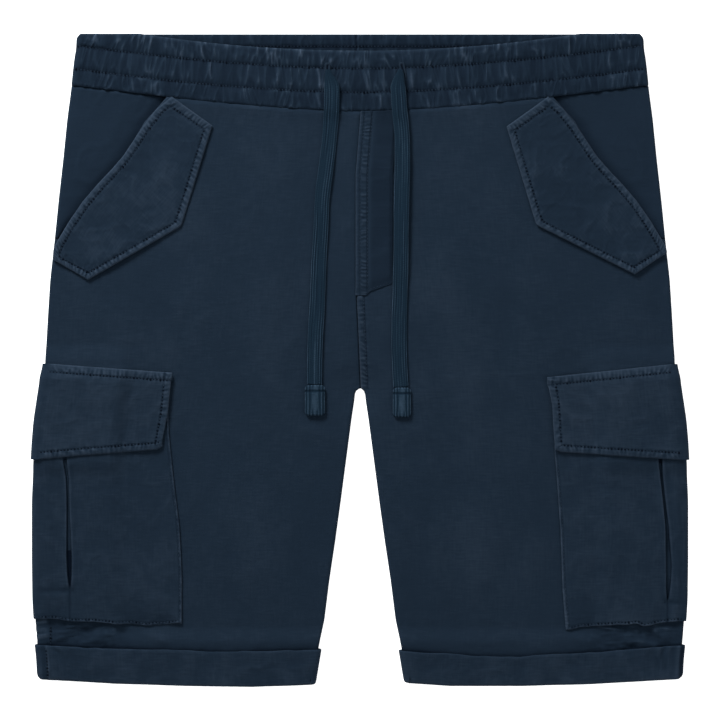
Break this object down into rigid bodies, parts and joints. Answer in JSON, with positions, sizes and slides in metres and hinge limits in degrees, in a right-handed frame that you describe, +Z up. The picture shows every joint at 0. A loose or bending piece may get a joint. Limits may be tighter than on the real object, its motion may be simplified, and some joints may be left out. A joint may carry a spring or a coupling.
{
  "type": "cargo shorts",
  "caption": "Navy cotton cargo shorts laid flat, with an elasticated drawstring waist, flapped hip pockets, wrapped cargo pockets and turn-ups.",
  "frame": {"origin": "on the surface that the shorts lie on, in the middle of their outline", "axes": "+Z up off the surface, out of the front of the shorts, +Y towards the waist, +X to the picture's right"},
  "size_m": [0.5252, 0.5208, 0.013],
  "materials": {
    "twill": "matte",
    "drawcord": "matte"
  },
  "bodies": {
    "root": {"front_leg_left": "twill", "back_leg_left": "twill", "hip_facing_left": "twill", "hip_flap_left": "twill", "cargo_pocket_left": "twill", "cargo_flap_left": "twill", "cuff_left": "twill", "front_leg_right": "twill", "back_leg_right": "twill", "hip_facing_right": "twill", "hip_flap_right": "twill", "cargo_pocket_right": "twill", "cargo_flap_right": "twill", "cuff_right": "twill", "waistband_front": "twill", "waistband_back": "twill", "fly_placket": "twill", "drawcord_left": "drawcord", "drawcord_tip_left": "drawcord", "drawcord_right": "drawcord", "drawcord_tip_right": "drawcord"}
  },
  "joints": []
}
